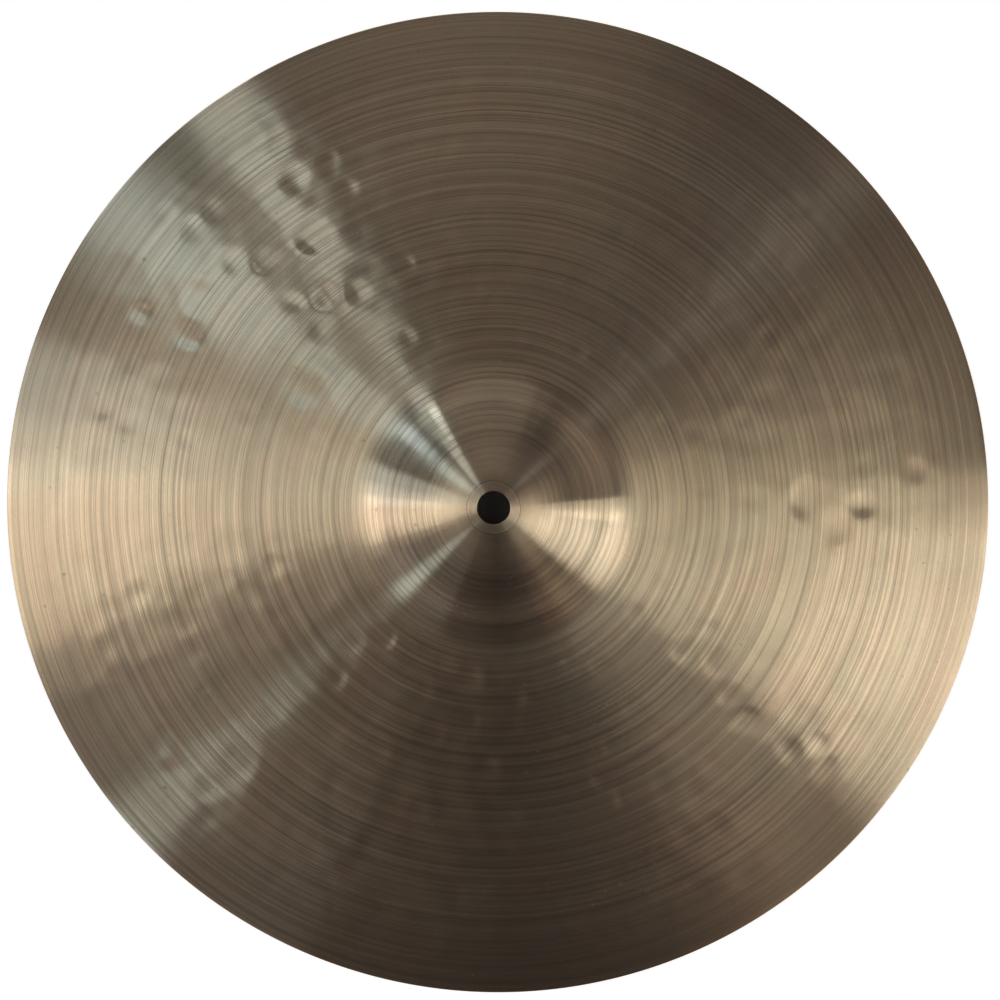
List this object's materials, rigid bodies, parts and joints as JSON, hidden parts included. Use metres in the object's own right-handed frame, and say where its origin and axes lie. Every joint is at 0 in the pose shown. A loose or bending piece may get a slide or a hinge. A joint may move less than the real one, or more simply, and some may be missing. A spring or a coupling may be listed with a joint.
{
  "type": "crash cymbal",
  "caption": "Thin round bronze crash cymbal with a domed bell, a shallow hammered bow and a central bore for a stand.",
  "frame": {"origin": "centre of the plane that the rim rests on", "axes": "+Z along the bore, out of the bell; the plate is round, so +X and +Y are the picture's right and top"},
  "size_m": [0.381, 0.381, 0.0366],
  "materials": {
    "bronze": "lathed, with fine concentric grooves"
  },
  "bodies": {
    "root": {"cymbal": "bronze"}
  },
  "joints": []
}
